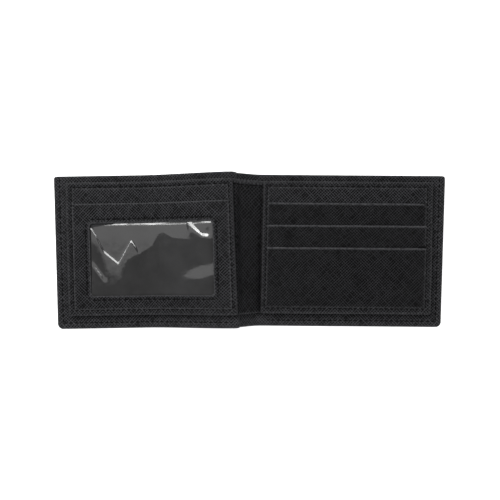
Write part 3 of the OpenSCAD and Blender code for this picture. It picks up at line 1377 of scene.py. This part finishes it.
@dataclass
class BillDivider(LeafWork):
    """The front wall of the bill compartment with its seams, on one side."""

    joins: tuple[float, float] = (4.6, 3.2)
    handles: tuple[float, float] = (2.2, 2.3)
    ways: tuple[tuple[float, float], ...] = ((12.3, 2.9), (10.3, 4.1), (7.3, 5.9), (3.6, 8.0),
                                             (0.9, 9.6), (-0.1, 10.9))
    plan: LeafPlan = LeafPlan()

    def surface(self, u: Array, v: Array) -> Array:
        """Height of the divider: turned top edge, stitching, waves and the panel's crevice.

        Args:
            u: Places along the leaf.
            v: Places across the leaf.

        Returns:
            Heights over the flat sheet.
        """
        plan = self.plan
        edge = plan.panel_high - v
        furrow = groove(edge - plan.panel_stitch + 0.3, 0.32, 0.5)
        puff = 0.22 * np.exp(-((edge - 1.4) / 1.0) ** 2)
        crevice = groove(u - plan.set_back + 0.8, 0.42, 0.7) * smooth((edge - 2) / 2)
        waves = 0.12 * ripple(u, v, 3.3, 40) * np.clip((edge - 4) / 4, 0, 1)
        return furrow + puff + waves + crevice

    def highlight_and_smoothing_field(self, u: Array, v: Array) -> Array:
        """Painted highlight and smoothing of the divider along its turned top edge."""
        return 0.55 * np.exp(-((self.plan.panel_high - v - 1.2) / 1.0) ** 2)

    def make(self) -> None:
        """Builds the divider, its two seams and the stitches beside the spine."""
        plan, word = self.plan, self.side.word
        mid = (LAYER.seam + LAYER.divider) / 2
        course = self.over_ridge(self.joins, self.handles, self.ways, mid)
        place, start = self.lay.crossing(self.side, course, mid, self.joins)
        row = plan.panel_high - plan.panel_stitch + 0.3
        sheet = Sheet(u=(start, plan.panel_out), v=(plan.panel_low, plan.panel_high),
                      h=(LAYER.seam, LAYER.divider), free=(False, True, True, True), step=1.2,
                      dense_v=(row,), dense_u=(plan.set_back - 0.8,), top=self.surface,
                      corners=Corners(out_bottom=1.0), highlight_and_smoothing_field=self.highlight_and_smoothing_field)
        piece = sheet.draft().build(f"bill_divider_{word}", place, self.finish.divider)
        self.bend(piece)
        register(piece, "inner_leather", f"divider_{word}",
                 *(["divider_spine"] if self.side is Side.RIGHT else []))
        side_seam = Sheet(u=(plan.panel_out - plan.rim, plan.panel_out - 0.4),
                          v=(plan.panel_low + 0.4, plan.panel_high - 0.4),
                          h=(LAYER.lining - 0.05, LAYER.seam + 0.05), step=2.5)
        low_seam = Sheet(u=(plan.set_back + 3, plan.panel_out - plan.rim),
                         v=(plan.panel_low + 0.4, plan.clear_bottom),
                         h=(LAYER.lining - 0.05, LAYER.seam + 0.05), step=2.5)
        for label, seam in (("side", side_seam), ("bottom", low_seam)):
            self.mount(seam.draft(), f"bill_seam_{label}_{word}_cloth", self.finish.textile,
                       "black_textile", f"bill_seam_{label}_{word}")
        self.stitch(place, start, row)

    def stitch(self, place: Callable[[Array], Array], start: float, row: float) -> None:
        """Sews the divider's top edge beside the spine.

        Args:
            place: Placing of the divider.
            start: Its end at the spine's middle.
            row: Place of the stitches across the divider.
        """
        last = self.plan.set_back - (0.2 if self.side is Side.RIGHT else 0.9)
        draft = Stitching().run(straight((start + 0.2, row), (last, row)),
                                Level(LAYER.divider - 0.24))
        piece = draft.build(f"divider_thread_{self.side.word}", place, self.finish.thread, 0.0)
        self.bend(piece)
        register(piece, "black_thread",
                 *(["divider_stitches_spine"] if self.side is Side.RIGHT else []))


@dataclass(frozen=True)
class Mouth:
    """The rolled upper edge of a pocket face."""

    edge: float
    span: tuple[float, float]
    seed: float
    lip: bool

    def height(self, u: Array, v: Array) -> Array:
        """Extra height of the face: bead and crease at the mouth, and a slight belly.

        Args:
            u: Places along the leaf.
            v: Places across the leaf.

        Returns:
            Heights over the flat face.
        """
        below = self.edge - v
        shape = 0.10 * ripple(u, v, self.seed, 55)
        if self.lip:
            shape = shape + 0.32 * np.exp(-((below - 0.65) / 0.5) ** 2)
            shape = shape + groove(below - 1.6, 0.26, 0.32)
        along = np.clip((u - self.span[0]) / (self.span[1] - self.span[0]), 0, 1)
        return shape + 0.22 * np.sin(along * math.pi) * np.exp(-(below / 9.0) ** 2)

    def highlight_and_smoothing_field(self, u: Array, v: Array) -> Array:
        """Painted highlight and smoothing of the leather along the mouth."""
        return np.exp(-((self.edge - v - 0.55) / 0.6) ** 2) if self.lip else 0 * u


@dataclass
class SewnPanel(LeafWork):
    """What both card panels share: base, turned rims and the stitching around them."""

    levels: tuple[tuple[float, float], ...]
    plan: LeafPlan = LeafPlan()

    def rim_height(self, u: Array, v: Array) -> Array:
        """Height of the rim, which thickens a step at each slot mouth.

        Args:
            u: Places along the leaf.
            v: Places across the leaf.

        Returns:
            The heights.
        """
        height = np.full(np.shape(v), LAYER.strip)
        for mouth, top in self.levels:
            previous = height.copy()
            height = previous + (top - previous) * smooth((mouth + 0.9 - v) / 1.4)
        return height

    def stitch_line(self) -> Array:
        """Corners of the stitching path, from the top at the spine side all the way round.

        Returns:
            Rows of (u, v).
        """
        plan = self.plan
        out = plan.panel_out - plan.panel_stitch
        low = plan.panel_low + plan.panel_stitch
        high = plan.panel_high - plan.panel_stitch + 0.3
        near = plan.set_back + plan.spine_stitch
        return np.array([[near, high], [near, low], [out, low], [out, high]])

    def make_rims(self) -> None:
        """Builds the textile base and the continuous turned rim."""
        plan, word = self.plan, self.side.word
        base = Sheet(u=(plan.set_back + 0.6, plan.clear_out + 0.5),
                     v=(plan.clear_bottom - 0.5, plan.clear_top + 0.5),
                     h=(LAYER.slip, LAYER.base), step=3.0)
        self.mount(base.draft(), f"panel_cloth_{word}", self.finish.textile, "black_textile",
                   f"panel_base_{word}")
        counts = (96, 74, 8)
        outer = box_loop((plan.set_back, plan.panel_out), (plan.panel_low, plan.panel_high), 1.3,
                         counts)
        inner = box_loop((plan.clear_low, plan.clear_out), (plan.clear_bottom, plan.clear_top),
                         0.5, counts)
        rows = (0.0, 0.015, 0.05, 0.1, 0.16, 0.24, 0.34, 0.46, 0.58, 0.66, 0.72, 0.78, 0.84,
                0.9, 0.96, 1.0)
        band = Band(outer, inner, LAYER.divider + 0.02, self.rim_surface, rows, 0.5)
        self.mount(band.draft(), f"panel_rim_{word}", self.finish.inner, "inner_leather",
                   *(f"rim_{n}_{word}" for n in ("top", "side", "bottom", "spine")))

    def rim_surface(self, u: Array, v: Array, t: float) -> Array:
        """Height of the rim with its puffed turned edge and the furrow of its stitching.

        Args:
            u: Places along the leaf.
            v: Places across the leaf.
            t: Place across the rim, from its outer edge at 0 to its inner edge at 1.

        Returns:
            The heights.
        """
        seed = 1.0 if self.side is Side.RIGHT else 4.0
        puff = 0.28 * math.exp(-((t - 0.38) / 0.22) ** 2)
        furrow = -0.36 * math.exp(-((t - 0.78) / 0.13) ** 2)
        return self.rim_height(u, v) + puff + furrow + 0.05 * ripple(u, v, seed, 25)

    def thread_height(self, u: Array, v: Array) -> Array:
        """Height of the stitches, sunk into the rim."""
        return self.rim_height(u, v) - 0.30

    def make_stitches(self) -> None:
        """Sews the panel down along its rims."""
        corners = self.stitch_line()
        runs = [Stitching().run(straight(tuple(a), tuple(b)), self.thread_height)
                for a, b in zip(corners, np.roll(corners, -1, axis=0))]
        self.mount(several(runs), f"panel_thread_{self.side.word}", self.finish.thread,
                   "black_thread", f"panel_stitches_{self.side.word}", weld=0.0)

    def pocket(self, name: str, node: str, v: tuple[float, float], h: tuple[float, float],
               seed: float, lip: bool = True) -> None:
        """A leather face with a rolled and creased upper edge.

        Args:
            name: Name of the piece.
            node: CAD node that it replaces.
            v: Bottom and top edges.
            h: Bottom and top heights.
            seed: Chooses its unevenness.
            lip: Whether the upper edge is a slot mouth.
        """
        plan = self.plan
        mouth = Mouth(v[1], (plan.clear_low, plan.clear_out), seed, lip)
        sheet = Sheet(u=(plan.clear_low - 0.6, plan.clear_out + 0.6), v=v, h=h, step=1.3,
                      dense_v=(v[1] - 0.7, v[1] - 1.6) if lip else (), top=mouth.height,
                      highlight_and_smoothing_field=mouth.highlight_and_smoothing_field)
        # Slot faces take the darker pocket leather, as painted shade; the top strips take the inner
        # leather.
        self.mount(sheet.draft(), name, self.finish.pocket if lip else self.finish.inner,
                   "inner_leather", node)


@dataclass
class CardPanel(SewnPanel):
    """The right panel, with three stepped card pockets."""

    def make(self) -> None:
        """Builds the panel from its base to its front pocket."""
        plan = self.plan
        low = plan.clear_bottom - 0.6
        self.make_rims()
        self.pocket("top_strip_card", "top_strip_right",
                    (plan.mouths[0] - 3.5, plan.clear_top + 0.6), (LAYER.base, LAYER.strip), 7.0,
                    False)
        for word, mouth, h, seed in zip(("back", "middle", "front"), plan.mouths,
                                        (LAYER.back, LAYER.middle, LAYER.front), (1.0, 2.0, 3.0)):
            self.pocket(f"pocket_{word}_face", f"pocket_{word}", (low, mouth), h, seed)
        self.make_stitches()
        self.make_tacks()

    def make_tacks(self) -> None:
        """Sews the short dense tacks that hold the free-side ends of two slots."""
        tack = Stitching(pitch=0.62, length=0.56, width=1.5, height=0.5)
        end = self.plan.clear_out
        runs = [tack.run(straight((end - 3.4, mouth), (end + 0.5, mouth)), self.tack_height)
                for mouth in (self.plan.mouths[0] - 0.5, self.plan.mouths[2] + 0.4)]
        self.mount(several(runs), "slot_tacks", self.finish.thread, "black_thread", weld=0.0)

    def tack_height(self, u: Array, v: Array) -> Array:
        """Height of the tacks, nearly on top of the rim."""
        return self.rim_height(u, v) - 0.1


@dataclass(frozen=True)
class Fold:
    """A narrow slanted fold of the clear sheet along a bent line."""

    path_u: tuple[float, ...]
    path_v: tuple[float, ...]
    spread: float
    steep: float = 0.136
    half_width: float = 1.2

    def height(self, u: Array, v: Array, bow: Field) -> Array:
        """The fold's height over the flat sheet.

        Args:
            u: Places along the leaf.
            v: Places across the leaf.
            bow: Height of the sheet without folds.

        Returns:
            The heights.
        """
        line = np.interp(u, self.path_u, self.path_v)
        off = v - line
        flank = np.clip(off, -self.half_width, self.half_width)
        fade = np.exp(-(np.maximum(np.abs(off) - self.half_width, 0) / self.spread) ** 2)
        ends = (smooth((u - self.path_u[0] + 2) / 4)
                * smooth((self.path_u[-1] + 1.5 - u) / 2.5))
        lean = bow(u, line + 0.5) - bow(u, line - 0.5)
        return (0.002 * line - self.steep - lean) * flank * fade * ends


@dataclass
class WindowPanel(SewnPanel):
    """The left panel, with one slot and the framed clear window."""

    window_u: tuple[float, float] = (13.6, 87.8)
    window_v: tuple[float, float] = (-25.3, 16.5)
    window_r: float = 2.0
    stitch_off: float = 2.4
    tuck: float = 3.0
    shade_u: tuple[float, ...] = (16, 26, 38, 43.5, 47, 51, 62, 66, 70, 75, 86)
    shade_v: tuple[float, ...] = (6.5, 6.0, 7.5, 11.0, 10.0, 3.0, -2.5, -5.0, -15.5, -20.0, -20.5)
    folds: tuple[Fold, ...] = (
        Fold((60, 63.8, 71.7, 80, 84.3, 87, 94), (0.2, 6.4, -6.8, 0.2, 9.0, 13.6, 20), 20.0),
        Fold((15, 20, 28), (8.4, 9, 16.5), 5.0),
        Fold((80, 86.5), (-16, -7), 7.0))

    def make(self) -> None:
        """Builds the panel from its base to its window frame."""
        plan = self.plan
        self.make_rims()
        self.pocket("top_strip_window", "top_strip_left",
                    (plan.id_mouth - 3.5, plan.clear_top + 0.6), (LAYER.base, LAYER.strip), 9.0,
                    False)
        self.make_frame()
        self.make_window()
        self.make_stitches()
        self.make_window_stitches()

    def make_frame(self) -> None:
        """Builds the leather frame around the window."""
        plan = self.plan
        counts = (90, 60, 10)
        span_u = (plan.clear_low - 0.6, plan.clear_out + 0.6)
        span_v = (plan.clear_bottom - 0.6, plan.id_mouth)
        outer = box_loop(span_u, span_v, 0.3, counts)
        inner = box_loop(self.window_u, self.window_v, self.window_r, counts)
        rows = tuple(np.unique(np.concatenate([
            [0, 0.004, 0.012, 0.03, 0.05, 0.08, 0.11, 0.14, 0.17, 0.2, 0.24, 0.28],
            np.linspace(0.3, 0.9, 22), [0.92, 0.94, 0.96, 0.975, 0.985, 0.993, 0.998, 1.0]])))
        band = Band(outer, inner, LAYER.frame[0], self.frame_height, rows, 0.28, 0.85)
        self.mount(band.draft(), "window_frame_leather", self.finish.inner, "inner_leather",
                   "window_frame")

    def frame_height(self, u: Array, v: Array, t: float) -> Array:
        """Height of the frame: its lip at the slot and the furrow of the window stitching.

        Args:
            u: Places along the leaf.
            v: Places across the leaf.
            t: Place across the frame, which plays no part.

        Returns:
            The heights.
        """
        du = np.maximum(self.window_u[0] - u, u - self.window_u[1])
        dv = np.maximum(self.window_v[0] - v, v - self.window_v[1])
        off = np.hypot(np.maximum(du, 0), np.maximum(dv, 0))
        edge = self.plan.id_mouth - v
        shape = groove(off - self.stitch_off, 0.30, 0.5)
        shape = shape + 0.16 * np.exp(-((off - 1.0) / 0.8) ** 2)
        shape = shape + 0.30 * np.exp(-((edge - 0.65) / 0.5) ** 2)
        shape = shape + groove(edge - 1.6, 0.24, 0.32)
        return LAYER.frame[1] + shape + 0.08 * ripple(u, v, 6.0, 45)

    def bow(self, u: Array, v: Array) -> Array:
        """Height of the clear sheet's bow, which tips one way above the shade line.

        Below the line through shade_u and shade_v it tips the other way, so only one of the two
        sides mirrors the ceiling card. The slope needed for this grows with v.

        Args:
            u: Places along the leaf.
            v: Places across the leaf.

        Returns:
            Heights over the flat sheet.
        """
        turn = np.interp(u, self.shade_u, self.shade_v)
        bend, tip = 0.002, 0.009
        flat = tip / bend
        light_to = np.clip(v, turn, np.maximum(turn, flat))
        light = bend / 2 * (light_to ** 2 - turn ** 2) - tip * (light_to - turn)
        dark_to = np.clip(v, np.minimum(turn, -flat), turn)
        dark = bend / 2 * (dark_to ** 2 - turn ** 2) + tip * (dark_to - turn)
        return np.where(v > turn, light, dark)

    def pane(self, u: Array, v: Array) -> Array:
        """Height of the clear sheet, which bows, twists and has a few soft creases.

        Args:
            u: Places along the leaf.
            v: Places across the leaf.

        Returns:
            Heights over the flat sheet.
        """
        shape = self.bow(u, v)
        low = v + 13.0 + 0.2 * (u - 22)
        shape = shape - 0.06 * low * np.exp(-(low / 8.5) ** 2 - ((u - 22.0) / 13.0) ** 2)
        du = np.minimum(u - self.window_u[0], self.window_u[1] - u)
        dv = np.minimum(v - self.window_v[0], self.window_v[1] - v)
        within = np.minimum(du, dv)
        inside = np.clip(within, 0, None)
        for fold in self.folds:
            shape = shape + fold.height(u, v, self.bow)
        pillow = 0.16 * (1 - np.exp(-inside / 0.5)) + 0.22 * (1 - np.exp(-inside / 3.0))
        return shape * smooth(1 + within / 1.5) + pillow + 0.006 * ripple(u, v, 8.0, 30)

    def make_window(self) -> None:
        """Builds the clear sheet behind the frame."""
        sheet = Sheet(u=(self.window_u[0] - self.tuck, self.window_u[1] + self.tuck),
                      v=(self.window_v[0] - self.tuck, self.window_v[1] + self.tuck),
                      h=(LAYER.window[0], LAYER.window[1] - 0.1), step=0.5, top=self.pane,
                      bottom=self.pane)
        self.mount(sheet.draft(), "identity_window", self.finish.window, "clear_sheet",
                   "id_window")

    def make_window_stitches(self) -> None:
        """Sews round the window opening."""
        off = self.stitch_off
        loop = box_loop((self.window_u[0] - off, self.window_u[1] + off),
                        (self.window_v[0] - off, self.window_v[1] + off), self.window_r + off,
                        (60, 40, 12))
        loop = np.vstack([loop, loop[:1]])
        self.mount(Stitching().run(loop, Level(LAYER.frame[1] - 0.24)), "window_thread",
                   self.finish.thread, "black_thread", "window_stitches", weld=0.0)


# ---------------------------------------------------------------- studio


@dataclass(frozen=True)
class SoftBox:
    """A large rectangular studio light."""

    name: str
    place: tuple[float, float, float]
    aim: tuple[float, float, float]
    size: tuple[float, float]
    power: float

    def make(self) -> None:
        """Hangs the light."""
        data = bpy.data.lights.new(self.name, "AREA")
        data.shape = "RECTANGLE"
        data.size, data.size_y = self.size
        data.energy = self.power
        lamp = bpy.data.objects.new(self.name, data)
        bpy.context.scene.collection.objects.link(lamp)
        lamp.location = self.place
        direction = Vector(self.aim) - Vector(self.place)
        lamp.rotation_euler = direction.to_track_quat("-Z", "Y").to_euler()


@dataclass(frozen=True)
class Studio:
    """Floor, lights and the camera straight above the wallet."""

    finish: Finishes
    height: float = 0.375
    view_width: float = 0.2953
    centre: tuple[float, float] = (0.0007, 0.0001)
    sensor_mm: float = 36.0
    floor_half: float = 2.5
    sky: tuple[float, float, float] = (0.93, 0.96, 1.0)
    horizon: float = 0.62
    overhead: float = 0.06
    lights: tuple[SoftBox, ...] = (
        SoftBox("key_light", (-0.30, 0.36, 0.52), (0, 0, 0), (0.34, 0.34), 3.25),
        SoftBox("fill_light", (0.62, -0.18, 0.50), (0, 0, 0), (0.5, 0.5), 1.3),
        SoftBox("front_light", (0.0, -0.6, 0.5), (0, 0, 0), (0.5, 0.4), 1.7),
        SoftBox("ceiling_card", (-0.43, 0.25, 0.75), (-0.43, 0.25, 0), (0.66, 0.5), 1.0),
        SoftBox("strip_light", (-0.22, 0.20, 0.74), (-0.22, 0.20, 0), (1.10, 0.04), 1.34))

    def make(self) -> None:
        """Sets the scene."""
        scene = bpy.context.scene
        scene.view_settings.view_transform = "Standard"
        scene.view_settings.look = "None"
        self.make_floor()
        self.make_world()
        for light in self.lights:
            light.make()
        camera = bpy.data.cameras.new("camera")
        camera.sensor_width = self.sensor_mm
        camera.lens = self.sensor_mm * self.height / self.view_width
        camera.clip_start = 0.01
        holder = bpy.data.objects.new("camera", camera)
        scene.collection.objects.link(holder)
        holder.location = (self.centre[0], self.centre[1], self.height)
        scene.camera = holder

    def make_floor(self) -> None:
        """Lays a wide pale floor."""
        half = self.floor_half
        mesh = bpy.data.meshes.new("floor")
        mesh.from_pydata([(-half, -half, 0), (half, -half, 0), (half, half, 0), (-half, half, 0)],
                         [], [(0, 1, 2, 3)])
        floor = bpy.data.objects.new("floor", mesh)
        bpy.context.scene.collection.objects.link(floor)
        mesh.materials.append(self.finish.floor)

    def make_world(self) -> None:
        """Fills the room with soft light that is darker overhead."""
        world = bpy.data.worlds.new("room")
        world.use_nodes = True
        tree = world.node_tree
        background = tree.nodes["Background"]
        background.inputs["Color"].default_value = (*self.sky, 1.0)
        place = tree.nodes.new("ShaderNodeTexCoord")
        split = tree.nodes.new("ShaderNodeSeparateXYZ")
        fade = tree.nodes.new("ShaderNodeMapRange")
        for key, number in (("From Min", 0.0), ("From Max", 0.95), ("To Min", self.horizon),
                            ("To Max", self.overhead)):
            fade.inputs[key].default_value = number
        tree.links.new(place.outputs["Generated"], split.inputs[0])
        tree.links.new(split.outputs["Z"], fade.inputs["Value"])
        tree.links.new(fade.outputs[0], background.inputs["Strength"])
        bpy.context.scene.world = world


def main() -> None:
    """Builds the wallet piece by piece, then the studio."""
    logging.basicConfig(level=logging.INFO, format="%(message)s")
    finish = Finishes()
    lay = Lay()
    for side in (Side.RIGHT, Side.LEFT):
        Shell(lay, finish, side).make()
        BillDivider(lay, finish, side).make()
    plan = LeafPlan()
    CardPanel(lay, finish, Side.RIGHT, tuple(zip(plan.mouths, (LAYER.back[1], LAYER.middle[1],
                                                               LAYER.front[1])))).make()
    WindowPanel(lay, finish, Side.LEFT, ((plan.id_mouth, LAYER.frame[1]),),
                LeafPlan(set_back=1.8)).make()
    Studio(finish).make()


if __name__ == "__main__":
    main()
